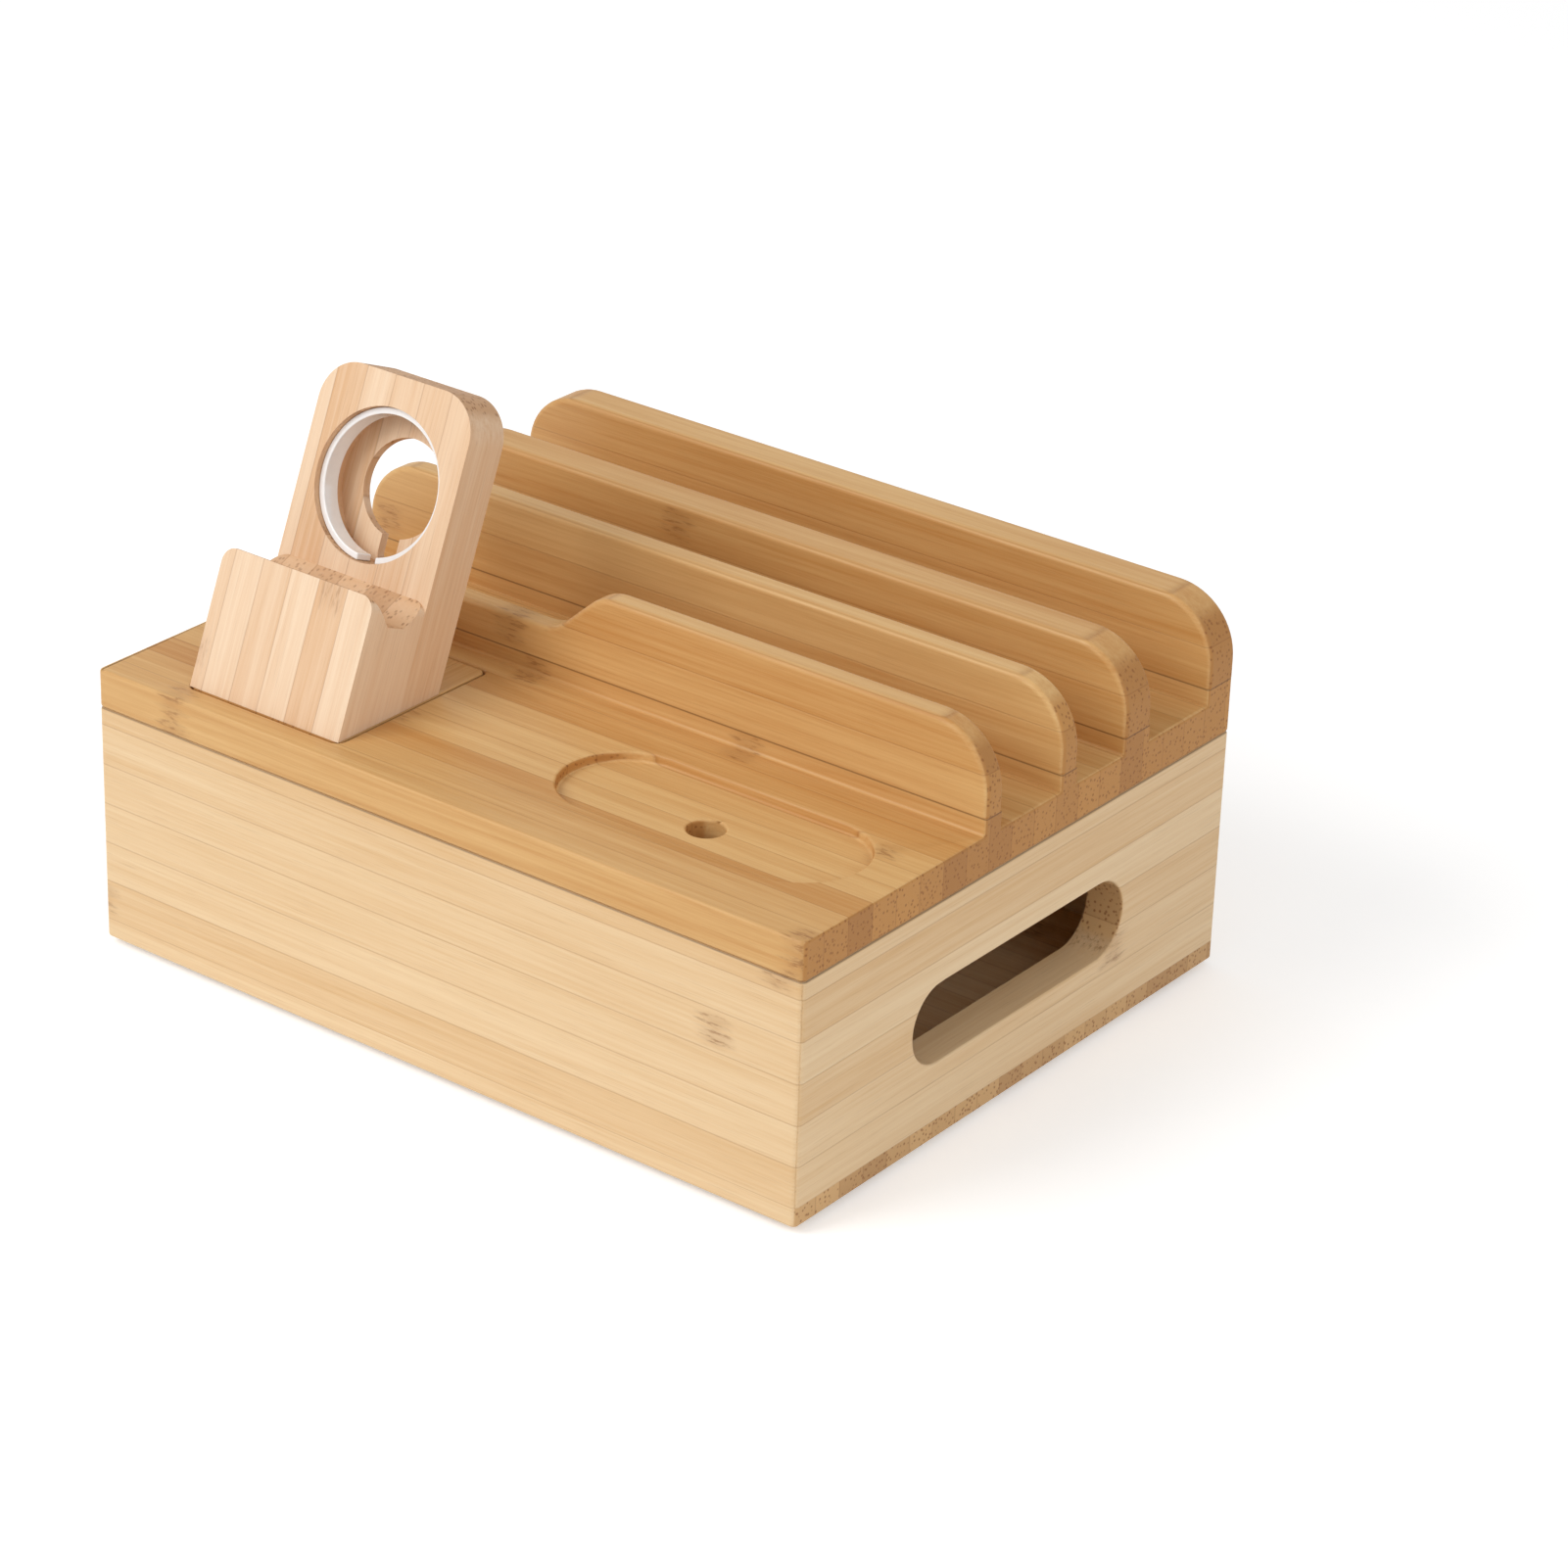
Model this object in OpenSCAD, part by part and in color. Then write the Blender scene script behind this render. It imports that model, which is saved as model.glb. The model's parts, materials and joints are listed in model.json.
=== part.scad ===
// Charging station organizer in laminated bamboo: a box with a lift-off lid.
// The lid carries four dividers, a shallow tray for an earbud case and a watch stand.
// Millimetres. X runs along the front, Y points to the back, Z up, with the
// origin at the middle of the footprint, on the surface that the box stands on.

/* [Overall] */
// Width along the front
body_w = 170; // [150:1:200]
// Depth from front to back
body_d = 135; // [132:1:160]
// Height from the table to the top of the watch stand
overall_h = 115; // [113:1:130]

/* [Box] */
// Height of the box, from the underside of its bottom to its rim
box_h = 49.5; // [45:0.5:54]
// Thickness of the four walls
wall_t = 8.5; // [6:0.5:10]
// Thickness of the bottom panel
bottom_t = 4; // [3:0.1:7]
// Radius of the eased upright corners of the box and the lid
corner_r = 1.2; // [0.6:0.1:2.5]
// Thickness of the anti-slip pads
pad_t = 1.5; // [1:0.1:2.5]
// Diameter of the anti-slip pads
pad_d = 11; // [8:0.5:14]
// Distance from each pad's centre to the two edges beside it
pad_inset = 12; // [9:0.5:20]

/* [Grip slots and cable outlet] */
// Length of the grip slot in each side wall
grip_l = 67; // [50:1:80]
// Height of the grip slots and of the cable outlet
grip_h = 16.4; // [12:0.2:19]
// Height of their middle above the underside of the bottom panel
grip_z = 24.3; // [20:0.1:28]
// Length of the cable outlet in the back wall
outlet_l = 44; // [25:1:70]

/* [Lid] */
// Thickness of the lid board between its ribs
lid_t = 8; // [7:0.5:10]
// Height of the ribs that the dividers are glued to
rib_h = 3.5; // [2.5:0.1:4.5]
// Thickness of the cleats under the lid
cleat_t = 5; // [3:0.5:8]
// Width of the cleats under the lid
cleat_w = 9; // [6:0.5:14]
// Play between the cleats and the walls of the box
cleat_play = 1.2; // [0.5:0.1:2]

/* [Dividers] */
// Height of the dividers above the lid board
divider_h = 20.5; // [19:0.5:24]
// Radius of their upper corners
divider_r = 13; // [8:0.5:14]
// Thickness of the two front dividers
thin_t = 5.1; // [4:0.1:6.6]
// Thickness of the two rear dividers
thick_t = 8.5; // [7:0.5:10]
// Width of the slot behind the front divider
slot_front = 18.8; // [16:0.1:20.6]
// Width of the middle slot
slot_middle = 15.5; // [13:0.1:17]
// Width of the slot in front of the back divider
slot_rear = 19.9; // [16:0.1:21]

/* [Front divider's step] */
// Height above the lid board of its low part, beside the watch stand
low_h = 10.3; // [9.5:0.1:12]
// Distance from the left edge of the lid to the end of the low part
low_l = 64.7; // [50:0.1:80]
// Radius of the two curves of the step
step_r = 9; // [5:0.5:9.5]
// Slope of the step between its curves
step_angle = 42; // [35:1:45]
// Radius of the low part's upper corner
low_r = 4.5; // [2:0.5:5]

/* [Cable holes] */
// Length of the cable hole in each slot floor
cable_l = 16; // [10:1:24]
// Width of the cable hole in each slot floor
cable_w = 8; // [5:0.5:11]

/* [Earbud tray] */
// Length of the tray
tray_l = 66.3; // [55:0.1:70]
// Width of the tray
tray_w = 26.2; // [20:0.1:30]
// Depth of the tray
tray_d = 2; // [1:0.1:3]
// Distance from its centre to the right edge of the lid
tray_right = 42.6; // [38:0.1:50]
// Distance from its centre to the front edge of the lid
tray_front = 28.3; // [20:0.1:34]
// Diameter of its cable hole
tray_hole_d = 7.2; // [4:0.2:9]
// Distance of the cable hole in front of the tray's middle
tray_hole_front = 1.9; // [0:0.1:4]

/* [Watch stand] */
// Width of the stand
stand_w = 37.8; // [34:0.1:44]
// Distance from the left edge of the lid to the stand
stand_left = 18.6; // [10:0.1:26]
// Distance from the front edge of the lid to the stand
stand_front = 5.9; // [4:0.1:10]
// Angle that the stand leans back
lean = 22.3; // [15:0.1:26]
// Depth of the foot from front to back
foot_d = 42; // [36:0.1:44]
// Thickness of the foot, and depth of its pocket in the lid
foot_t = 4; // [2.5:0.1:5]
// Gap around the foot in its pocket
foot_gap = 0.4; // [0.3:0.05:0.8]
// Radius of the corners of the foot
foot_r = 1.6; // [1:0.1:3]
// Thickness of the lip block in front of the upright
lip_t = 15.8; // [14:0.1:18]
// Length of the lip's front face
lip_l = 27.8; // [24:0.1:32]
// Radius of the lip's upper corners
lip_r = 3; // [1:0.1:5]
// Thickness of the upright
upright_t = 10.3; // [9:0.1:12]
// Radius of the upright's upper corners
upright_r = 8.5; // [4:0.1:12]
// Depth of the groove between lip and upright
groove_d = 5.2; // [3:0.1:6.5]
// Width of the flat top of the lip
lip_edge = 0.6; // [0.4:0.1:1.5]

/* [Watch charger's seat] */
// Distance along the upright's face from the lid to the centre of the seat
seat_up = 39.4; // [38:0.1:42]
// Diameter of the seat
seat_d = 30; // [26:0.1:32]
// Depth of the seat
seat_depth = 8.3; // [7.2:0.1:8.6]
// Diameter of the hole behind the seat
window_d = 19.4; // [14:0.1:23]
// Width of the cable slot below that hole
window_slot = 4.4; // [3:0.1:6]
// Wall of the plastic ring
ring_t = 1.3; // [0.8:0.1:2]
// Depth of the plastic ring
ring_d = 4.2; // [3:0.1:5]
// Distance of the ring behind the upright's face
ring_inset = 1.3; // [0.5:0.1:1.8]
// Width of the gap in the ring
ring_gap = 4.3; // [3:0.1:8]
// Turn of that gap away from straight down
ring_turn = 4; // [0:1:15]
// Clearance around the ring
ring_clear = 0.05; // [0.02:0.01:0.1]

/* [Hidden] */
$fn = 96;
// How far a cutter runs past the face that it cuts
over = 1;

// Levels, counted up from the table
box_z = pad_t;
wall_z = box_z + bottom_t;
rim_z = box_z + box_h;
deck_z = rim_z + lid_t;
glue_z = deck_z + rib_h;

// Front face of each divider, worked out from the back edge of the lid
back_y = body_d / 2 - thick_t;
third_y = back_y - slot_rear - thick_t;
second_y = third_y - slot_middle - thin_t;
front_y = second_y - slot_front - thin_t;
slot_middles = [front_y + thin_t + slot_front / 2, second_y + thin_t + slot_middle / 2,
    third_y + thick_t + slot_rear / 2];

// Height of the dividers above their glue line
divider_up = divider_h - rib_h;
low_up = low_h - rib_h;

// Step of the front divider: the straight stretch between its two curves
step_rise = divider_h - low_h;
step_run = (step_rise - 2 * step_r * (1 - cos(step_angle))) / sin(step_angle);
step_x = low_l - body_w / 2;
step_l = 2 * step_r * sin(step_angle) + step_run * cos(step_angle);

// Earbud tray
tray_x = body_w / 2 - tray_right;
tray_y = tray_front - body_d / 2;

// Watch stand
stand_x = stand_left + stand_w / 2 - body_w / 2;
stand_y = stand_front - body_d / 2;
// Where the upright's face begins, along the slope from the lip's front edge
upright_s = lip_t * tan(lean);
upright_l = (overall_h - deck_z) / cos(lean) + upright_s;
groove_flat = lip_t - lip_edge - 2 * groove_d;

// A stadium, long side along the first axis
module stadium(l, w) {
    square([l - w, w], center = true);
    translate([(l - w) / 2, 0]) circle(d = w);
    translate([(w - l) / 2, 0]) circle(d = w);
}

// A rectangle with four round corners
module rounded_plate(w, d, r) {
    square([w - 2 * r, d], center = true);
    square([w, d - 2 * r], center = true);
    for (x = [-1, 1], y = [-1, 1])
        translate([x * (w / 2 - r), y * (d / 2 - r)]) circle(r = r);
}

// What is cut off an upper corner at [x, h] to round it; side is -1 on the left, 1 on the right
module corner_cut(x, h, r, side) {
    translate([x - side * r, h - r])
    difference() {
        translate([side > 0 ? 0 : -r - over, 0]) square([r + over, r + over]);
        circle(r = r);
    }
}

// A board standing on the first axis, with both upper corners rounded
module arched_board(w, h, r) {
    difference() {
        translate([-w / 2, 0]) square([w, h]);
        for (side = [-1, 1]) corner_cut(side * w / 2, h, r, side);
    }
}

// Box

// A wall with mitred ends whose outer face lies at distance out in front of the centre
module mitred_wall(l, out) {
    translate([0, 0, wall_z])
    linear_extrude(height = box_h - bottom_t)
    intersection() {
        rounded_plate(l, 2 * out, corner_r);
        polygon([[-l / 2, -out], [l / 2, -out], [l / 2 - wall_t, wall_t - out], [wall_t - l / 2, wall_t - out]]);
    }
}

// A stadium-shaped cutter through a wall whose outer face is at distance out
module wall_slot(l, out) {
    translate([0, -out - over, box_z + grip_z])
    rotate([-90, 0, 0])
    linear_extrude(height = wall_t + 2 * over)
    stadium(l, grip_h);
}

module front_panel() {
    color("burlywood") mitred_wall(body_w, body_d / 2);
}

module back_panel() {
    color("burlywood")
    rotate([0, 0, 180])
    difference() {
        mitred_wall(body_w, body_d / 2);
        wall_slot(outlet_l, body_d / 2);
    }
}

module side_panel(turn) {
    rotate([0, 0, turn])
    difference() {
        mitred_wall(body_d, body_w / 2);
        wall_slot(grip_l, body_w / 2);
    }
}

module left_panel() {
    color("tan") side_panel(-90);
}

module right_panel() {
    color("tan") side_panel(90);
}

module bottom_panel() {
    color("peru")
    translate([0, 0, box_z])
    linear_extrude(height = bottom_t)
    rounded_plate(body_w, body_d, corner_r);
}

// A pad near one corner: x is -1 on the left and 1 on the right, y -1 in front and 1 behind
module pad(x, y) {
    color("dimgray")
    translate([x * (body_w / 2 - pad_inset), y * (body_d / 2 - pad_inset), 0])
    cylinder(d = pad_d, h = pad_t);
}

// Lid

// A rib across the whole lid, below a divider whose front face is at y
module rib(y, t) {
    translate([0, y + t / 2, rim_z])
    linear_extrude(height = lid_t + rib_h)
    square([body_w, t], center = true);
}

module lid_board() {
    color("burlywood")
    difference() {
        intersection() {
            union() {
                translate([-body_w / 2, -body_d / 2, rim_z]) cube([body_w, body_d, lid_t]);
                rib(front_y, thin_t);
                rib(second_y, thin_t);
                rib(third_y, thick_t);
                rib(back_y, thick_t);
            }
            translate([0, 0, rim_z - over])
            linear_extrude(height = lid_t + rib_h + 2 * over)
            rounded_plate(body_w, body_d, corner_r);
        }
        // Pocket of the watch stand
        translate([stand_x, stand_y + foot_d / 2, deck_z - foot_t])
        linear_extrude(height = foot_t + over)
        rounded_plate(stand_w + 2 * foot_gap, foot_d + 2 * foot_gap, foot_r + foot_gap);
        // Earbud tray and its cable hole
        translate([tray_x, tray_y, deck_z - tray_d])
        linear_extrude(height = tray_d + over)
        stadium(tray_l, tray_w);
        translate([tray_x, tray_y - tray_hole_front, rim_z - over])
        cylinder(d = tray_hole_d, h = lid_t + 2 * over);
        // Cable hole in the floor of each slot
        for (y = slot_middles)
            translate([0, y, rim_z - over])
            linear_extrude(height = lid_t + 2 * over)
            stadium(cable_l, cable_w);
    }
}

// A divider standing on its rib, with its front face at y
module upright_board(y, t) {
    translate([0, y + t, glue_z])
    rotate([90, 0, 0])
    linear_extrude(height = t)
    children();
}

module second_divider() {
    color("burlywood")
    upright_board(second_y, thin_t)
    arched_board(body_w, divider_up, divider_r);
}

module third_divider() {
    color("burlywood")
    upright_board(third_y, thick_t)
    arched_board(body_w, divider_up, divider_r);
}

module back_divider() {
    color("burlywood")
    upright_board(back_y, thick_t)
    arched_board(body_w, divider_up, divider_r);
}

// Front divider's outline: low part, then a hollow curve that runs through a straight
// slope into a round one, then the part of full height
module stepped_board() {
    hollow_end = [step_x + step_r * sin(step_angle), low_up + step_r * (1 - cos(step_angle))];
    round_start = hollow_end + step_run * [cos(step_angle), sin(step_angle)];
    round_centre = [step_x + step_l, divider_up - step_r];
    slope_top = [round_centre[0] - step_r * tan(step_angle / 2), divider_up];
    difference() {
        polygon([[-body_w / 2, 0], [-body_w / 2, low_up], [step_x, low_up], hollow_end,
            slope_top, [body_w / 2, divider_up], [body_w / 2, 0]]);
        // Hollow curve
        intersection() {
            translate([step_x, low_up + step_r]) circle(r = step_r);
            translate([step_x, low_up]) square(hollow_end - [step_x, low_up]);
        }
        // Round curve
        difference() {
            polygon([round_centre, round_start, [round_start[0], divider_up + over],
                [round_centre[0], divider_up + over]]);
            translate(round_centre) circle(r = step_r);
        }
        corner_cut(-body_w / 2, low_up, low_r, -1);
        corner_cut(body_w / 2, divider_up, divider_r, 1);
    }
}

module front_divider() {
    color("burlywood")
    upright_board(front_y, thin_t)
    stepped_board();
}

// A cleat glued under the lid, along one side wall
module cleat(side) {
    cleat_l = body_d - 2 * (wall_t + cleat_play);
    cleat_x = body_w / 2 - wall_t - cleat_play - cleat_w / 2;
    translate([side * cleat_x - cleat_w / 2, -cleat_l / 2, rim_z - cleat_t])
    cube([cleat_w, cleat_l, cleat_t]);
}

module left_cleat() {
    color("tan") cleat(-1);
}

module right_cleat() {
    color("tan") cleat(1);
}

// Watch stand

module stand_foot() {
    color("sienna")
    translate([stand_x, stand_y + foot_d / 2, deck_z - foot_t])
    linear_extrude(height = foot_t)
    rounded_plate(stand_w, foot_d, foot_r);
}

// Places its children in the leaning frame: the origin on the lip's front bottom edge,
// Y square to the leaning faces and Z up the slope
module leaning() {
    translate([stand_x, stand_y, deck_z])
    rotate([-lean, 0, 0])
    children();
}

// A leaning board of length l and thickness t whose front face is at depth n, with
// rounded upper corners, cut level where it stands on the foot
module leaning_board(n, t, l, r) {
    intersection() {
        leaning()
        translate([0, n + t, 0])
        rotate([90, 0, 0])
        linear_extrude(height = t)
        arched_board(stand_w, l, r);
        translate([stand_x - stand_w, stand_y - over, deck_z])
        cube([2 * stand_w, 2 * l, l]);
    }
}

module stand_lip() {
    color("wheat")
    difference() {
        leaning_board(0, lip_t, lip_l, lip_r);
        // Groove with sloping walls and a flat floor, cut square to the slope
        leaning()
        translate([-stand_w, 0, 0])
        rotate([90, 0, 90])
        linear_extrude(height = 2 * stand_w)
        polygon([[lip_edge, lip_l], [lip_edge + groove_d, lip_l - groove_d],
            [lip_edge + groove_d + groove_flat, lip_l - groove_d], [lip_t, lip_l],
            [lip_t, lip_l + over], [lip_edge, lip_l + over]]);
    }
}

// Places its children on the seat's axis, at the upright's face, pointing into the wood
module at_seat() {
    leaning()
    translate([0, lip_t, upright_s + seat_up])
    rotate([-90, 0, 0])
    children();
}

module stand_upright() {
    color("burlywood")
    difference() {
        leaning_board(lip_t, upright_t, upright_l, upright_r);
        at_seat() {
            translate([0, 0, -over]) cylinder(d = seat_d, h = seat_depth + over);
            cylinder(d = window_d, h = upright_t + over);
            // Cable slot from the hole down to the edge of the seat
            linear_extrude(height = upright_t + over)
            translate([0, seat_d / 4])
            rotate([0, 0, 90])
            stadium(seat_d / 2, window_slot);
        }
    }
}

module charger_ring() {
    ring_r = seat_d / 2 - ring_clear;
    color("white")
    at_seat()
    translate([0, 0, ring_inset])
    difference() {
        cylinder(r = ring_r, h = ring_d);
        translate([0, 0, -over]) cylinder(r = ring_r - ring_t, h = ring_d + 2 * over);
        rotate([0, 0, -ring_turn])
        translate([-ring_gap / 2, 0, -over])
        cube([ring_gap, seat_d, ring_d + 2 * over]);
    }
}

bottom_panel();
front_panel();
back_panel();
left_panel();
right_panel();
pad(-1, -1);  // front_left_pad
pad(1, -1);  // front_right_pad
pad(-1, 1);  // back_left_pad
pad(1, 1);  // back_right_pad
lid_board();
front_divider();
second_divider();
third_divider();
back_divider();
left_cleat();
right_cleat();
stand_foot();
stand_lip();
stand_upright();
charger_ring();
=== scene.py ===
"""Dresses a charging station organizer: laminated bamboo, a glossy ring and a pale studio."""
import json
import math

import bmesh
import bpy
from mathutils import Matrix, Vector


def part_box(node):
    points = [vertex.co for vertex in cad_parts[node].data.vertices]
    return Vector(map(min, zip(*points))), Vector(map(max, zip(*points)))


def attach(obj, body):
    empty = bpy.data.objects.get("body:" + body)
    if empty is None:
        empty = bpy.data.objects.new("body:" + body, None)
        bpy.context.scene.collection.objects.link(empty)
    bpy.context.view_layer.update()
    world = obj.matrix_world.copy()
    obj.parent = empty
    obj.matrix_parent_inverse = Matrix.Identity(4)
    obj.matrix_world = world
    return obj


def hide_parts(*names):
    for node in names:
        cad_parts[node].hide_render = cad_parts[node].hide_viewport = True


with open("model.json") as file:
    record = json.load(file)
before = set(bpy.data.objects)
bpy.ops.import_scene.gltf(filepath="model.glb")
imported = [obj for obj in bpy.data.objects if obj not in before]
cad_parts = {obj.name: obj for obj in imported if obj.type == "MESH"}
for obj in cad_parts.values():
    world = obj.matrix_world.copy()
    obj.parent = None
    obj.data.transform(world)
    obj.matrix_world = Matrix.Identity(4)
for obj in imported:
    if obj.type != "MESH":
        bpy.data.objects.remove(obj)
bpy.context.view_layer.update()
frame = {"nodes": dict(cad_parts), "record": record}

bl_info = {
    "name": "Bamboo Charging Organizer",
    "version": (1, 0, 0),
    "blender": (4, 5, 0),
    "location": "3D View > Sidebar > Organizer",
    "description": "Eased bamboo panels, dividers, watch stand and ring around the organizer's solids",
    "category": "Object",
}

MM = 0.001

# Which way the fibres run and which way the strips are glued side by side
ALONG_X = Vector((1, 0, 0))
ALONG_Y = Vector((0, 1, 0))
ALONG_Z = Vector((0, 0, 1))


def millimetres(node):
    """Lowest and highest corner of a solid, in millimetres."""
    low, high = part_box(node)
    return Vector(low) / MM, Vector(high) / MM


def charger_axis():
    """The way a charger leaves its seat, from the record of the part."""
    for mount in frame["record"]["mounts"]:
        if mount["name"] == "charger_seat":
            return Vector(mount["axis"]).normalized()
    raise RuntimeError("the record has no charger seat")


SEAT_AXIS = charger_axis()
UP_SLOPE = Vector((1, 0, 0)).cross(-SEAT_AXIS).normalized()


def linear(hex_colour):
    """A colour written as on a paint chart, as the linear values that shaders take."""
    parts = [int(hex_colour[i:i + 2], 16) / 255 for i in (1, 3, 5)]
    return [p / 12.92 if p <= 0.04045 else ((p + 0.055) / 1.055) ** 2.4 for p in parts]


def colour_prop(name, hex_colour, text):
    return bpy.props.FloatVectorProperty(
        name=name, description=text, default=linear(hex_colour), size=3, min=0, max=1, subtype="COLOR")


def length_prop(name, default, text):
    return bpy.props.FloatProperty(
        name=name, description=text, default=default * MM, min=0, soft_max=0.1, unit="LENGTH", precision=4)


class OrganizerBamboo(bpy.types.PropertyGroup):
    """Colours and sizes of the laminated bamboo."""
    pale: colour_prop("Pale", "#ECCFA5", "Lightest strips of the box")
    honey: colour_prop("Honey", "#D9B07C", "Darkest strips of the box")
    deck_pale: colour_prop("Lid pale", "#DEB478", "Lightest strips of the lid")
    deck_honey: colour_prop("Lid honey", "#C48D4E", "Darkest strips of the lid")
    stand_pale: colour_prop("Stand pale", "#EFD3B4", "Lightest strips of the watch stand")
    stand_honey: colour_prop("Stand honey", "#DBAF84", "Darkest strips of the watch stand")
    grain: colour_prop("Grain", "#8A5427", "Dark fibres, glue lines and knuckles")
    strip: length_prop("Strip", 7.05, "Width of the glued strips")
    flat_strip: length_prop("Flat strip", 8.4, "Width of the strips in the walls and dividers")
    fibre_depth: length_prop("Fibre depth", 0.12, "Depth of the fibres in the lacquer")


class OrganizerEdges(bpy.types.PropertyGroup):
    """How far the edges are sanded round."""
    box: length_prop("Box", 0.5, "Easing of the box's edges")
    lid: length_prop("Lid", 0.6, "Easing of the lid's edges")
    divider: length_prop("Dividers", 1.1, "Easing of the dividers' edges")
    stand: length_prop("Stand", 0.7, "Easing of the watch stand's edges")
    ring: length_prop("Ring", 0.25, "Easing of the charger ring's edges")


class OrganizerPads(bpy.types.PropertyGroup):
    """The anti-slip pads under the box."""
    rubber: colour_prop("Rubber", "#3A3A3A", "Colour of the pads")
    ease: length_prop("Ease", 0.4, "Easing of the pads' lower edge")


class OrganizerRing(bpy.types.PropertyGroup):
    """The plastic ring of the charger's seat."""
    white: colour_prop("White", "#FBFAF9", "Colour of the plastic")


class OrganizerStage(bpy.types.PropertyGroup):
    """Floor, lamps and camera."""
    floor: colour_prop("Floor", "#F4F4F4", "Colour of the floor")
    key_power: bpy.props.FloatProperty(name="Key", description="Power of the main lamp", default=9.5, min=0)
    fill_power: bpy.props.FloatProperty(name="Fill", description="Power of the side lamp", default=3.0, min=0)
    daylight: bpy.props.FloatProperty(
        name="Daylight", description="Strength of the world", default=0.72, min=0)
    lens: bpy.props.FloatProperty(name="Lens", description="Focal length in mm", default=113.06, min=10)
    azimuth: bpy.props.FloatProperty(
        name="Azimuth", description="Turn of the camera round the object",
        default=math.radians(36.829), subtype="ANGLE")
    elevation: bpy.props.FloatProperty(
        name="Elevation", description="Height of the view", default=math.radians(26.197), subtype="ANGLE")
    roll: bpy.props.FloatProperty(
        name="Roll", description="Tilt of the picture", default=math.radians(1.911), subtype="ANGLE")
    distance: bpy.props.FloatProperty(
        name="Distance", description="From the camera to its aim", default=0.93194, unit="LENGTH")
    aim: bpy.props.FloatVectorProperty(
        name="Aim", description="Point that the camera looks at",
        default=(0.02887, 0, 0.0463), subtype="XYZ")


class Wires:
    """Short calls for the nodes of one shader or group tree."""

    def __init__(self, tree):
        self.tree = tree

    def add(self, kind, **settings):
        made = self.tree.nodes.new(kind)
        for name, value in settings.items():
            setattr(made, name, value)
        return made

    def put(self, socket, value):
        if isinstance(value, bpy.types.NodeSocket):
            self.tree.links.new(value, socket)
        elif value is not None:
            socket.default_value = value

    def math(self, operation, *values, clamp=False):
        made = self.add("ShaderNodeMath", operation=operation, use_clamp=clamp)
        for socket, value in zip(made.inputs, values):
            self.put(socket, value)
        return made.outputs[0]

    def between(self, value, low, high, out_low=0.0, out_high=1.0):
        made = self.add("ShaderNodeMapRange", interpolation_type="SMOOTHSTEP")
        for socket, entry in zip(made.inputs, (value, low, high, out_low, out_high)):
            self.put(socket, entry)
        return made.outputs[0]

    def mix(self, factor, first, second):
        made = self.add("ShaderNodeMix", data_type="RGBA")
        self.put(made.inputs["Factor"], factor)
        colours = [s for s in made.inputs if s.type == "RGBA"]
        self.put(colours[0], first)
        self.put(colours[1], second)
        return [s for s in made.outputs if s.type == "RGBA"][0]

    def vector(self, x, y, z):
        made = self.add("ShaderNodeCombineXYZ")
        for socket, value in zip(made.inputs, (x, y, z)):
            self.put(socket, value)
        return made.outputs[0]

    def split(self, vector):
        made = self.add("ShaderNodeSeparateXYZ")
        self.put(made.inputs[0], vector)
        return made.outputs

    def dot(self, vector, direction):
        made = self.add("ShaderNodeVectorMath", operation="DOT_PRODUCT")
        self.put(made.inputs[0], vector)
        made.inputs[1].default_value = direction
        return made.outputs["Value"]

    def scatter(self, value):
        made = self.add("ShaderNodeTexWhiteNoise", noise_dimensions="1D")
        self.put(made.inputs["W"], value)
        return made.outputs["Value"]

    def drawn_out(self, place, along, across, shift=None):
        """The place scaled less along x than across it, for patterns that follow the fibres."""
        x, y, z = place
        if shift is None:
            first = self.math("MULTIPLY", x, along)
        else:
            first = self.math("MULTIPLY_ADD", x, along, shift)
        return self.vector(first, self.math("MULTIPLY", y, across), self.math("MULTIPLY", z, across))

    def noise(self, vector, detail, rough=0.55):
        made = self.add("ShaderNodeTexNoise", noise_dimensions="3D")
        self.put(made.inputs["Vector"], vector)
        made.inputs["Scale"].default_value = 1.0
        made.inputs["Detail"].default_value = detail
        made.inputs["Roughness"].default_value = rough
        return made.outputs["Fac"]


# Laminated bamboo, in millimetres. Strips are counted from far outside, so no number is negative
FIRST_STRIP = 40.0
SEAM_WIDTH = 0.45
KNUCKLE_SPACING = 148.0
KNUCKLE_REACH = 4.5
KNUCKLE_CORE = 0.5
KNUCKLE_RAGGED = 12.0
# Where a draw between 0 and 1 lies above this, the strip has a knuckle there
NO_KNUCKLE = 0.5
# A thin line of painted shade, for the shadow where the lid sits on the box and the dividers stand on the
# lid: half its width, where it is darkest, and its colour
PAINTED_SHADE_WIDTH = 0.42
PAINTED_SHADE_CORE = 0.12
PAINTED_SHADE_COLOUR = (0.07, 0.03, 0.012, 1.0)


def new_group(name, inputs, outputs):
    """An empty shader group with the named sockets, and its wires."""
    tree = bpy.data.node_groups.new(name, "ShaderNodeTree")
    for label, kind, default in inputs:
        socket = tree.interface.new_socket(name=label, in_out="INPUT", socket_type=kind)
        if default is not None:
            socket.default_value = default
    for label, kind in outputs:
        tree.interface.new_socket(name=label, in_out="OUTPUT", socket_type=kind)
    wires = Wires(tree)
    return wires, wires.add("NodeGroupInput").outputs, wires.add("NodeGroupOutput").inputs


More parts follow.
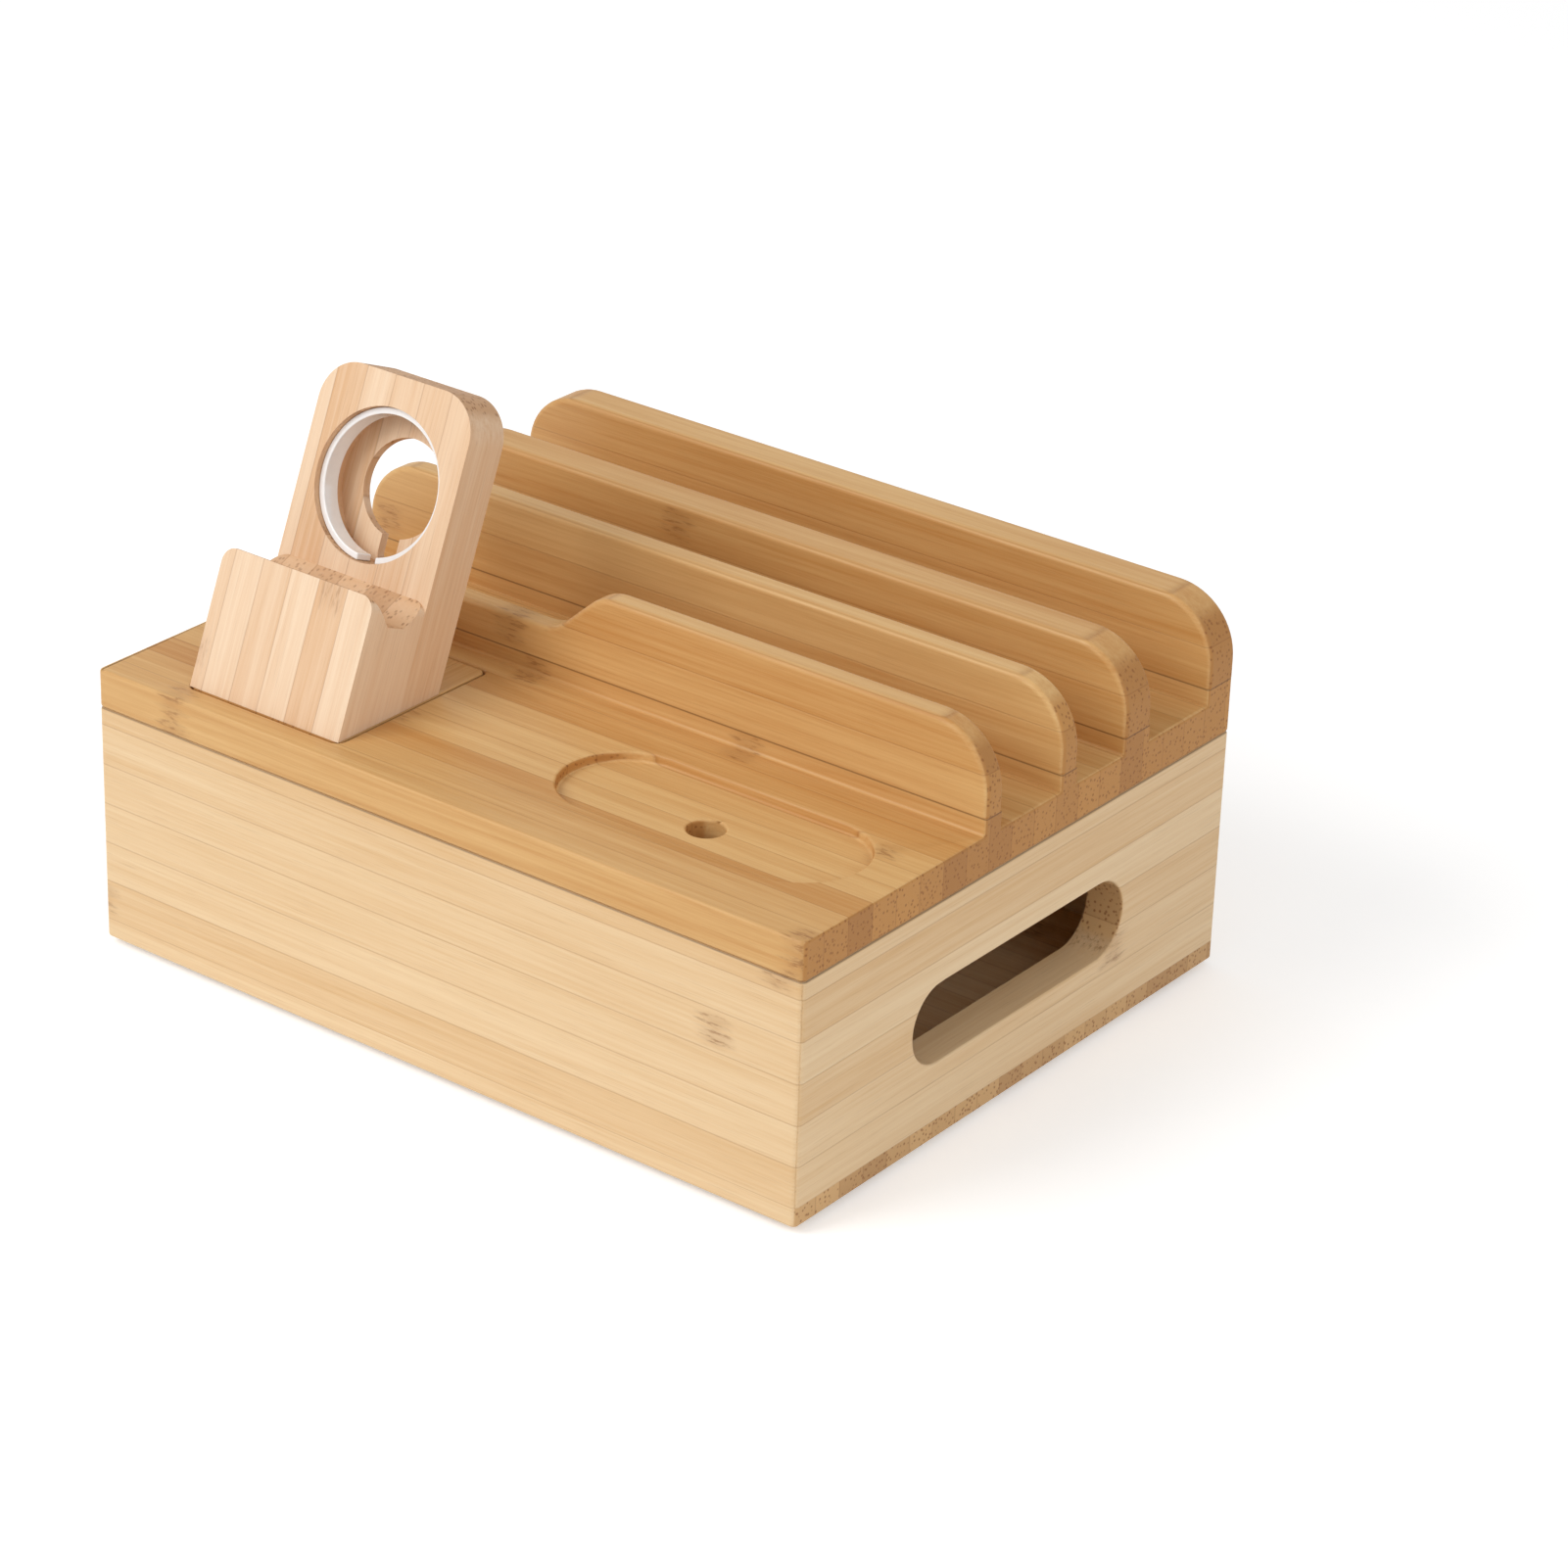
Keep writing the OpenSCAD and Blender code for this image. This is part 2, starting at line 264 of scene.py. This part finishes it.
def bamboo_group():
    """Strips of bamboo glued side by side. Place is in millimetres: x along the fibres,
    y across the strips, z through the board. End is 1 where the fibres are cut across.
    One input lays a thin line of painted shade, for the shadow where one board meets another."""
    name = "Laminated bamboo"
    if name in bpy.data.node_groups:
        return bpy.data.node_groups[name]
    white = (1.0, 1.0, 1.0, 1.0)
    w, given, out = new_group(
        name,
        [("Place", "NodeSocketVector", None),
         ("Strip", "NodeSocketFloat", 7.0),
         ("Seed", "NodeSocketFloat", 0.0),
         ("Pale", "NodeSocketColor", white),
         ("Honey", "NodeSocketColor", white),
         ("Grain", "NodeSocketColor", white),
         ("Contrast", "NodeSocketFloat", 1.0),
         ("Knuckles", "NodeSocketFloat", 1.0),
         ("End", "NodeSocketFloat", 0.0),
         ("Painted seam shade", "NodeSocketFloat", 0.0)],
        [("Color", "NodeSocketColor"), ("Roughness", "NodeSocketFloat"), ("Height", "NodeSocketFloat")])
    place = w.split(given["Place"])
    x, y = place["X"], place["Y"]
    seed = given["Seed"]

    # Each strip has its own tone. The bare numbers keep one draw apart from another
    across = w.math("ADD", w.math("DIVIDE", y, given["Strip"]), FIRST_STRIP)
    strip = w.math("FLOOR", across)
    tone = w.scatter(w.math("ADD", strip, w.math("MULTIPLY", seed, 7.31)))
    other = w.scatter(w.math("ADD", strip, w.math("MULTIPLY_ADD", seed, 3.17, 101.0)))

    # Fibres are long along x and fine across it
    shift = w.math("MULTIPLY", tone, 60.0)
    broad = w.noise(w.drawn_out(place, 0.011, 0.32, shift), 3.0)
    fibre = w.noise(w.drawn_out(place, 0.03, 1.5, shift), 5.0, 0.6)
    fine = w.noise(w.drawn_out(place, 0.09, 5.5, shift), 3.0, 0.6)
    amount = w.math("ADD", w.math("MULTIPLY", w.math("SUBTRACT", tone, 0.5), 0.75),
                    w.math("MULTIPLY", w.math("SUBTRACT", broad, 0.5), 1.1))
    amount = w.math("ADD", amount, w.math("MULTIPLY", w.math("SUBTRACT", fibre, 0.5), 1.3))
    amount = w.math("MULTIPLY_ADD", amount, given["Contrast"], 0.5, clamp=True)
    wood = w.mix(amount, given["Pale"], given["Honey"])
    streaks = w.math("MULTIPLY", w.between(fine, 0.55, 0.75), 0.2)
    wood = w.mix(streaks, wood, given["Grain"])

    # Glue lines between the strips
    edge = w.math("MULTIPLY", w.math("ABSOLUTE", w.math("SUBTRACT", w.math("FRACT", across), 0.5)), 2.0)
    seam = w.between(edge, w.math("SUBTRACT", 1.0, w.math("DIVIDE", SEAM_WIDTH, given["Strip"])), 1.0)
    wood = w.mix(w.math("MULTIPLY", seam, 0.3), wood, given["Grain"])

    # Knuckles: speckled brown marks that cross a strip here and there
    along = w.math("ADD", w.math("DIVIDE", x, KNUCKLE_SPACING), w.math("MULTIPLY_ADD", other, 3.0, 20.0))
    cell = w.math("FLOOR", along)
    key = w.math("ADD", w.math("MULTIPLY", strip, 13.7), w.math("MULTIPLY_ADD", cell, 5.1, seed))
    spot_at = w.math("MULTIPLY_ADD", w.scatter(key), 0.7, 0.15)
    away = w.math("ABSOLUTE", w.math("SUBTRACT", w.math("FRACT", along), spot_at))
    gap = w.math("MULTIPLY", away, KNUCKLE_SPACING)
    ragged = w.math("MULTIPLY", w.math("SUBTRACT", fibre, 0.5), KNUCKLE_RAGGED)
    gap = w.math("ADD", gap, ragged)
    chosen = w.between(w.scatter(w.math("ADD", key, 55.5)), NO_KNUCKLE, NO_KNUCKLE + 0.02)
    inside = w.between(edge, 1.0, 0.5)
    close = w.between(gap, KNUCKLE_REACH, KNUCKLE_CORE)
    zone = w.math("MULTIPLY", close, w.math("MULTIPLY", chosen, inside))
    zone = w.math("MULTIPLY", zone, given["Knuckles"])
    speck = w.noise(w.drawn_out(place, 0.3, 1.5), 3.0, 0.6)
    specks = w.math("MULTIPLY", w.between(speck, 0.48, 0.68), zone)
    wood = w.mix(w.math("MULTIPLY", specks, 0.6), wood, given["Grain"])
    band = w.math("MULTIPLY", zone, 0.2)
    wood = w.mix(band, wood, given["Grain"])

    # Cut ends: dots of dark fibre in a browner ground
    dots = w.add("ShaderNodeTexVoronoi", voronoi_dimensions="3D", feature="F1")
    w.put(dots.inputs["Vector"], w.drawn_out(place, 0.05, 1.05))
    dots.inputs["Scale"].default_value = 1.0
    dot = w.between(dots.outputs["Distance"], 0.4, 0.15)
    ground = w.mix(w.math("MULTIPLY", tone, 0.42), given["Honey"], given["Grain"])
    ends = w.mix(w.math("MULTIPLY", dot, 0.7), ground, given["Grain"])
    ends = w.mix(w.math("MULTIPLY", seam, 0.35), ends, given["Grain"])
    whole = w.mix(given["End"], wood, ends)

    # Painted shade: dark lines for the shadow where boards meet
    w.put(out["Color"], w.mix(w.math("MULTIPLY", given["Painted seam shade"], 0.6), whole, PAINTED_SHADE_COLOUR))

    rough = w.math("MULTIPLY_ADD", fibre, 0.16, 0.36)
    w.put(out["Roughness"], w.math("MULTIPLY_ADD", given["End"], 0.14, rough))
    height = w.math("SUBTRACT", w.math("MULTIPLY", fine, 0.5), w.math("MULTIPLY", seam, 0.7))
    pits = w.math("MULTIPLY", w.math("MULTIPLY", dot, given["End"]), 0.5)
    w.put(out["Height"], w.math("SUBTRACT", height, pits))
    return w.tree


def bamboo(name, fibres, across, strip, colours, seed=0.0, start=0.0, contrast=1.0, knuckles=1.0, joints=()):
    """A bamboo material. fibres and across are directions in the part's frame, strip is in
    metres, and start is where one glue line lies along across, in millimetres. The heights in
    the last argument, in millimetres, are where the board meets another; there a thin line of
    painted shade stands in for the shadow in the seam."""
    settings = bpy.context.scene.organizer_bamboo
    made = bpy.data.materials.new(name)
    made.use_nodes = True
    made.node_tree.nodes.clear()
    w = Wires(made.node_tree)
    place = w.add("ShaderNodeTexCoord").outputs["Object"]
    through = fibres.cross(across)
    fitted = w.vector(w.dot(place, fibres / MM),
                      w.math("SUBTRACT", w.dot(place, across / MM), start),
                      w.dot(place, through / MM))
    normal = w.add("ShaderNodeNewGeometry").outputs["Normal"]
    end = w.between(w.math("ABSOLUTE", w.dot(normal, fibres)), 0.55, 0.8)
    # The painted seam shade lies on the sides and eased edges of a board, not on its level faces
    painted_shade = 0.0
    height = w.dot(place, ALONG_Z / MM)
    upright = w.between(w.math("ABSOLUTE", w.dot(normal, ALONG_Z)), 0.97, 0.8)
    for level in joints:
        near = w.between(w.math("ABSOLUTE", w.math("SUBTRACT", height, level)), PAINTED_SHADE_WIDTH, PAINTED_SHADE_CORE)
        painted_shade = w.math("MAXIMUM", w.math("MULTIPLY", near, upright), painted_shade)
    group = w.add("ShaderNodeGroup", node_tree=bamboo_group())
    pale, honey = colours
    entries = {"Place": fitted, "Strip": strip / MM, "Seed": seed, "Pale": (*pale, 1), "Honey": (*honey, 1),
               "Grain": (*settings.grain, 1), "Contrast": contrast, "Knuckles": knuckles, "End": end,
               "Painted seam shade": painted_shade}
    for label, value in entries.items():
        w.put(group.inputs[label], value)
    bump = w.add("ShaderNodeBump")
    bump.inputs["Strength"].default_value = 0.35
    bump.inputs["Distance"].default_value = settings.fibre_depth
    w.put(bump.inputs["Height"], group.outputs["Height"])
    surface = w.add("ShaderNodeBsdfPrincipled")
    w.put(surface.inputs["Base Color"], group.outputs["Color"])
    w.put(surface.inputs["Roughness"], group.outputs["Roughness"])
    w.put(surface.inputs["Normal"], bump.outputs["Normal"])
    surface.inputs["Specular IOR Level"].default_value = 0.35
    w.put(w.add("ShaderNodeOutputMaterial").inputs["Surface"], surface.outputs[0])
    return made


def plastic(name, colour, rough, grain_size, grain_depth, coat=0.0):
    """A moulded plastic or rubber with a fine uneven skin."""
    made = bpy.data.materials.new(name)
    made.use_nodes = True
    made.node_tree.nodes.clear()
    w = Wires(made.node_tree)
    place = w.add("ShaderNodeTexCoord").outputs["Object"]
    fine = w.add("ShaderNodeTexNoise")
    w.put(fine.inputs["Vector"], place)
    fine.inputs["Scale"].default_value = 1 / grain_size
    fine.inputs["Detail"].default_value = 3.0
    shade = [c * 0.93 for c in colour]
    surface = w.add("ShaderNodeBsdfPrincipled")
    w.put(surface.inputs["Base Color"], w.mix(fine.outputs["Fac"], (*colour, 1), (*shade, 1)))
    w.put(surface.inputs["Roughness"], w.math("MULTIPLY_ADD", fine.outputs["Fac"], 0.1, rough))
    surface.inputs["Coat Weight"].default_value = coat
    bump = w.add("ShaderNodeBump")
    bump.inputs["Strength"].default_value = 0.25
    bump.inputs["Distance"].default_value = grain_depth
    w.put(bump.inputs["Height"], fine.outputs["Fac"])
    w.put(surface.inputs["Normal"], bump.outputs["Normal"])
    w.put(w.add("ShaderNodeOutputMaterial").inputs["Surface"], surface.outputs[0])
    return made


# A face larger than this that stands at 45 degrees to the walls is a mitre
MITRE_AREA = 100 * MM * MM
SHARP = math.radians(28)
FLUSH = 0.02 * MM


def is_glued(face, planes):
    """True for a face that lies on one of the planes (direction, distance in mm), or a mitre."""
    n = face.normal
    if face.calc_area() > MITRE_AREA and abs(n.z) < 0.01 and abs(abs(n.x) - abs(n.y)) < 0.01:
        return True
    middle = face.calc_center_median()
    for direction, distance in planes:
        if n.dot(direction) > 0.999 and abs(middle.dot(direction) - distance * MM) < FLUSH:
            return True
    return False


def eased_copy(node, ease, material, planes=(), segments=3, clamp=False):
    """A merged copy of a solid with its free edges sanded round. Glued edges stay sharp. clamp
    narrows the easing to what the shortest edge can take."""
    source = frame["nodes"][node]
    mesh = bmesh.new()
    mesh.from_mesh(source.data)
    bmesh.ops.remove_doubles(mesh, verts=mesh.verts, dist=0.001 * MM)
    bmesh.ops.dissolve_limit(mesh, angle_limit=math.radians(0.5), verts=mesh.verts, edges=mesh.edges)
    glued = {f for f in mesh.faces if is_glued(f, planes)}
    weight = mesh.edges.layers.float.new("bevel_weight_edge")
    for edge in mesh.edges:
        free = len(edge.link_faces) == 2 and not any(f in glued for f in edge.link_faces)
        edge[weight] = 1.0 if free and edge.calc_face_angle(0) > SHARP else 0.0
    data = bpy.data.meshes.new(node + "_eased")
    mesh.to_mesh(data)
    mesh.free()
    piece = bpy.data.objects.new("eased_" + node, data)
    bpy.context.scene.collection.objects.link(piece)
    bevel = piece.modifiers.new("Eased edges", "BEVEL")
    bevel.limit_method = "WEIGHT"
    bevel.width = ease
    bevel.segments = segments
    bevel.harden_normals = True
    bevel.use_clamp_overlap = clamp
    for face in data.polygons:
        face.use_smooth = True
    data.set_sharp_from_angle(angle=SHARP)
    data.materials.append(material)
    return piece


def settle(piece, body, slot, *nodes):
    """The piece moves with its body and stands for its solids."""
    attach(piece, body)
    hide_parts(*nodes)


class ORGANIZER_OT_box(bpy.types.Operator):
    """Bottom and four walls of the box"""
    bl_idname = "organizer.box"
    bl_label = "Box"

    # Where one glue line lies, in mm: up the walls, and back from the middle of the bottom
    WALL_GLUE_LINE = 5.5
    BOTTOM_GLUE_LINE = 2.0
    WALL_CONTRAST = 0.8

    def execute(self, context):
        wood = context.scene.organizer_bamboo
        ease = context.scene.organizer_edges.box
        colours = (wood.pale, wood.honey)
        floor_top = millimetres("bottom_panel")[1].z
        rim = millimetres("front_panel")[1].z
        below = (-ALONG_Z, -floor_top)
        above = (ALONG_Z, floor_top)
        # All four walls carry a line of painted shade at the rim, for the shadow where the lid sits on them
        long_way = {"front_panel": 1.0, "back_panel": 2.0}
        for node, seed in long_way.items():
            stuff = bamboo("Bamboo " + node, ALONG_X, ALONG_Z, wood.flat_strip, colours, seed,
                           self.WALL_GLUE_LINE, self.WALL_CONTRAST, joints=(rim,))
            settle(eased_copy(node, ease, stuff, [below]), "box", "box_wood", node)
        for node, seed in {"left_panel": 3.0, "right_panel": 4.0}.items():
            stuff = bamboo("Bamboo " + node, ALONG_Y, ALONG_Z, wood.flat_strip, colours, seed,
                           self.WALL_GLUE_LINE, self.WALL_CONTRAST, joints=(rim,))
            settle(eased_copy(node, ease, stuff, [below]), "box", "box_wood", node)
        stuff = bamboo("Bamboo bottom_panel", ALONG_X, ALONG_Y, wood.strip, colours, 5.0,
                       self.BOTTOM_GLUE_LINE)
        settle(eased_copy("bottom_panel", ease, stuff, [above]), "box", "box_wood", "bottom_panel")
        return {"FINISHED"}


class ORGANIZER_OT_pads(bpy.types.Operator):
    """Anti-slip pads, one tree that repeats a round pad at the four corners"""
    bl_idname = "organizer.pads"
    bl_label = "Anti-slip pads"

    NODES = ("front_left_pad", "front_right_pad", "back_left_pad", "back_right_pad")

    def pad_tree(self):
        tree = bpy.data.node_groups.new("Pads at the corners", "GeometryNodeTree")
        face = tree.interface
        for label, kind in (("Pitch X", "NodeSocketFloat"), ("Pitch Y", "NodeSocketFloat"),
                            ("Radius", "NodeSocketFloat"), ("Thickness", "NodeSocketFloat"),
                            ("Material", "NodeSocketMaterial")):
            face.new_socket(name=label, in_out="INPUT", socket_type=kind)
        face.new_socket(name="Geometry", in_out="OUTPUT", socket_type="NodeSocketGeometry")
        make, link = tree.nodes.new, tree.links.new
        given, out = make("NodeGroupInput"), make("NodeGroupOutput")
        corners = make("GeometryNodeMeshGrid")
        corners.inputs["Vertices X"].default_value = 2
        corners.inputs["Vertices Y"].default_value = 2
        link(given.outputs["Pitch X"], corners.inputs["Size X"])
        link(given.outputs["Pitch Y"], corners.inputs["Size Y"])
        pad = make("GeometryNodeMeshCylinder")
        pad.inputs["Vertices"].default_value = 48
        link(given.outputs["Radius"], pad.inputs["Radius"])
        link(given.outputs["Thickness"], pad.inputs["Depth"])
        repeat = make("GeometryNodeInstanceOnPoints")
        link(corners.outputs["Mesh"], repeat.inputs["Points"])
        link(pad.outputs["Mesh"], repeat.inputs["Instance"])
        real = make("GeometryNodeRealizeInstances")
        link(repeat.outputs["Instances"], real.inputs["Geometry"])
        paint = make("GeometryNodeSetMaterial")
        link(real.outputs["Geometry"], paint.inputs["Geometry"])
        link(given.outputs["Material"], paint.inputs["Material"])
        link(paint.outputs["Geometry"], out.inputs["Geometry"])
        return tree

    def execute(self, context):
        settings = context.scene.organizer_pads
        low, high = millimetres(self.NODES[0])
        middle = (low + high) / 2
        rubber = plastic("Pad rubber", settings.rubber, 0.7, 0.6 * MM, 0.05 * MM)
        tree = self.pad_tree()
        carrier = bpy.data.objects.new("pad_carrier", bpy.data.meshes.new("pad_carrier"))
        context.scene.collection.objects.link(carrier)
        modifier = carrier.modifiers.new("Pads", "NODES")
        modifier.node_group = tree
        values = {"Pitch X": -2 * middle.x * MM, "Pitch Y": -2 * middle.y * MM,
                  "Radius": (high.x - low.x) / 2 * MM, "Thickness": (high.z - low.z) * MM, "Material": rubber}
        for socket in tree.interface.items_tree:
            if socket.in_out == "INPUT":
                modifier[socket.identifier] = values[socket.name]
        context.view_layer.update()
        solid = bpy.data.meshes.new_from_object(carrier.evaluated_get(context.evaluated_depsgraph_get()))
        solid.transform(Matrix.Translation((0, 0, middle.z * MM)))
        bpy.data.objects.remove(carrier)
        piece = bpy.data.objects.new("grip_pads", solid)
        context.scene.collection.objects.link(piece)
        bevel = piece.modifiers.new("Eased edges", "BEVEL")
        bevel.limit_method = "ANGLE"
        bevel.angle_limit = SHARP
        bevel.width = settings.ease
        bevel.segments = 2
        for face in solid.polygons:
            face.use_smooth = True
        solid.set_sharp_from_angle(angle=SHARP)
        settle(piece, "box", "pad_rubber", *self.NODES)
        return {"FINISHED"}


class ORGANIZER_OT_lid(bpy.types.Operator):
    """Lid board, its four dividers and the cleats under it"""
    bl_idname = "organizer.lid"
    bl_label = "Lid"

    # Where one glue line of the lid board lies, in mm from the middle
    GLUE_LINE = 1.6
    DIVIDERS = {"front_divider": 11.0, "second_divider": 12.0, "third_divider": 13.0, "back_divider": 14.0}

    def underside(self):
        return millimetres("lid_board")[0].z

    def execute(self, context):
        wood = context.scene.organizer_bamboo
        edges = context.scene.organizer_edges
        colours = (wood.deck_pale, wood.deck_honey)
        glue = millimetres("back_divider")[0].z
        rim = self.underside()
        # The lid board carries lines of painted shade at its underside, where it sits on the box, and where
        # the dividers stand on it
        board = bamboo("Bamboo lid_board", ALONG_X, ALONG_Y, wood.strip, colours, 6.0, self.GLUE_LINE,
                       joints=(self.underside(), glue))
        settle(eased_copy("lid_board", edges.lid, board, [(ALONG_Z, glue)]), "lid", "lid_wood", "lid_board")
        for node, seed in self.DIVIDERS.items():
            stuff = bamboo("Bamboo " + node, ALONG_X, ALONG_Z, wood.flat_strip, colours, seed, glue, 0.9)
            piece = eased_copy(node, edges.divider, stuff, [(-ALONG_Z, -glue)], 4)
            settle(piece, "lid", "lid_wood", node)
        stuff = bamboo("Bamboo cleats", ALONG_Y, ALONG_X, wood.strip, colours, 15.0)
        for node in ("left_cleat", "right_cleat"):
            piece = eased_copy(node, edges.lid, stuff, [(ALONG_Z, rim)])
            settle(piece, "lid", "lid_wood", node)
        return {"FINISHED"}


class ORGANIZER_OT_watch_stand(bpy.types.Operator):
    """Foot, lip and upright of the leaning watch stand"""
    bl_idname = "organizer.watch_stand"
    bl_label = "Watch stand"

    def execute(self, context):
        wood = context.scene.organizer_bamboo
        ease = context.scene.organizer_edges.stand
        colours = (wood.stand_pale, wood.stand_honey)
        deck = millimetres("stand_foot")[1].z
        below = (-ALONG_Z, -deck)
        foot_colours = (wood.deck_pale, wood.deck_honey)
        foot = bamboo("Bamboo stand_foot", ALONG_Y, ALONG_X, wood.strip, foot_colours, 21.0)
        settle(eased_copy("stand_foot", ease * 0.5, foot), "watch_stand", "stand_wood", "stand_foot")
        for node, seed in {"stand_lip": 22.0, "stand_upright": 23.0}.items():
            stuff = bamboo("Bamboo " + node, UP_SLOPE, ALONG_X, wood.strip, colours, seed, 0.0, 0.9, 0.6)
            piece = eased_copy(node, ease, stuff, [below], clamp=True)
            settle(piece, "watch_stand", "stand_wood", node)
        return {"FINISHED"}


class ORGANIZER_OT_charger_ring(bpy.types.Operator):
    """Split ring of glossy plastic in the charger's seat"""
    bl_idname = "organizer.charger_ring"
    bl_label = "Charger ring"

    def execute(self, context):
        colour = context.scene.organizer_ring.white
        white = plastic("Glossy white plastic", colour, 0.1, 1.5 * MM, 0.02 * MM, 1.0)
        ring = eased_copy("charger_ring", context.scene.organizer_edges.ring, white)
        settle(ring, "watch_stand", "ring_plastic", "charger_ring")
        return {"FINISHED"}


class ORGANIZER_OT_stage(bpy.types.Operator):
    """Pale floor, soft lamps and the camera"""
    bl_idname = "organizer.stage"
    bl_label = "Studio"

    # Metres
    FLOOR_SIZE = 6.0
    KEY_SIZE = 0.8
    KEY_PLACE = (-0.55, -0.95, 0.95)
    FILL_SIZE = 0.9
    FILL_PLACE = (1.1, -0.5, 0.7)
    LIT_POINT = (0, 0, 0.05)
    # What the floor lacks to look white to the camera
    FLOOR_GLOW = 0.34

    def lamp(self, name, power, size, place):
        data = bpy.data.lights.new(name, "AREA")
        data.energy = power
        data.size = size
        made = bpy.data.objects.new(name, data)
        made.location = place
        made.rotation_euler = (Vector(self.LIT_POINT) - Vector(place)).to_track_quat("-Z", "Y").to_euler()
        bpy.context.scene.collection.objects.link(made)

    def floor(self, settings):
        half = self.FLOOR_SIZE / 2
        data = bpy.data.meshes.new("studio_floor")
        corners = [(-half, -half, 0), (half, -half, 0), (half, half, 0), (-half, half, 0)]
        data.from_pydata(corners, [], [(0, 1, 2, 3)])
        made = bpy.data.objects.new("studio_floor", data)
        bpy.context.scene.collection.objects.link(made)
        paper = bpy.data.materials.new("Pale paper")
        paper.use_nodes = True
        paper.node_tree.nodes.clear()
        w = Wires(paper.node_tree)
        diffuse = w.add("ShaderNodeBsdfDiffuse")
        diffuse.inputs["Color"].default_value = (*settings.floor, 1)
        glow = w.add("ShaderNodeEmission")
        rays = w.add("ShaderNodeLightPath")
        seen = w.math("MAXIMUM", rays.outputs["Is Camera Ray"], rays.outputs["Is Glossy Ray"])
        w.put(glow.inputs["Strength"], w.math("MULTIPLY", seen, self.FLOOR_GLOW))
        both = w.add("ShaderNodeAddShader")
        w.put(both.inputs[0], diffuse.outputs[0])
        w.put(both.inputs[1], glow.outputs[0])
        w.put(w.add("ShaderNodeOutputMaterial").inputs["Surface"], both.outputs[0])
        data.materials.append(paper)

    def world(self, settings):
        made = bpy.data.worlds.new("Studio")
        bpy.context.scene.world = made
        made.use_nodes = True
        made.node_tree.nodes.clear()
        w = Wires(made.node_tree)
        rays = w.add("ShaderNodeLightPath")
        seen = w.math("MAXIMUM", rays.outputs["Is Camera Ray"], rays.outputs["Is Glossy Ray"])
        sky = w.add("ShaderNodeBackground")
        w.put(sky.inputs["Strength"], w.math("MAXIMUM", seen, settings.daylight))
        w.put(w.add("ShaderNodeOutputWorld").inputs["Surface"], sky.outputs[0])

    def camera(self, settings):
        data = bpy.data.cameras.new("Camera")
        data.sensor_width = 36.0
        data.lens = settings.lens
        data.clip_end = 20.0
        made = bpy.data.objects.new("Camera", data)
        bpy.context.scene.collection.objects.link(made)
        turn, rise = settings.azimuth, settings.elevation
        back = Vector((math.sin(turn) * math.cos(rise), -math.cos(turn) * math.cos(rise), math.sin(rise)))
        place = Vector(settings.aim) + back * settings.distance
        aim = (-back).to_track_quat("-Z", "Y").to_matrix() @ Matrix.Rotation(settings.roll, 3, "Z")
        made.matrix_world = Matrix.Translation(place) @ aim.to_4x4()
        bpy.context.scene.camera = made

    def execute(self, context):
        settings = context.scene.organizer_stage
        self.floor(settings)
        self.world(settings)
        self.lamp("Key", settings.key_power, self.KEY_SIZE, self.KEY_PLACE)
        self.lamp("Fill", settings.fill_power, self.FILL_SIZE, self.FILL_PLACE)
        self.camera(settings)
        context.scene.view_settings.view_transform = "Standard"
        return {"FINISHED"}


class ORGANIZER_PT_panel(bpy.types.Panel):
    """Lists the organizer's steps in the sidebar"""
    bl_label = "Organizer"
    bl_idname = "ORGANIZER_PT_panel"
    bl_space_type = "VIEW_3D"
    bl_region_type = "UI"
    bl_category = "Organizer"

    def draw(self, context):
        for operator in OPERATORS:
            self.layout.operator(operator.bl_idname)
        for group in SETTINGS:
            values = getattr(context.scene, group)
            for name in values.bl_rna.properties.keys():
                if name not in ("rna_type", "name"):
                    self.layout.prop(values, name)


SETTINGS = {
    "organizer_bamboo": OrganizerBamboo,
    "organizer_edges": OrganizerEdges,
    "organizer_pads": OrganizerPads,
    "organizer_ring": OrganizerRing,
    "organizer_stage": OrganizerStage,
}
OPERATORS = (ORGANIZER_OT_stage, ORGANIZER_OT_box, ORGANIZER_OT_pads, ORGANIZER_OT_lid,
             ORGANIZER_OT_watch_stand, ORGANIZER_OT_charger_ring)


def register():
    for name, group in SETTINGS.items():
        bpy.utils.register_class(group)
        setattr(bpy.types.Scene, name, bpy.props.PointerProperty(type=group))
    for entry in (*OPERATORS, ORGANIZER_PT_panel):
        bpy.utils.register_class(entry)


def unregister():
    for entry in reversed((*OPERATORS, ORGANIZER_PT_panel)):
        bpy.utils.unregister_class(entry)
    for name, group in reversed(SETTINGS.items()):
        delattr(bpy.types.Scene, name)
        bpy.utils.unregister_class(group)


def main():
    register()
    bpy.ops.organizer.stage()
    bpy.ops.organizer.box()
    bpy.ops.organizer.pads()
    bpy.ops.organizer.lid()
    bpy.ops.organizer.watch_stand()
    bpy.ops.organizer.charger_ring()
    bpy.context.view_layer.update()


if __name__ == "__main__":
    main()
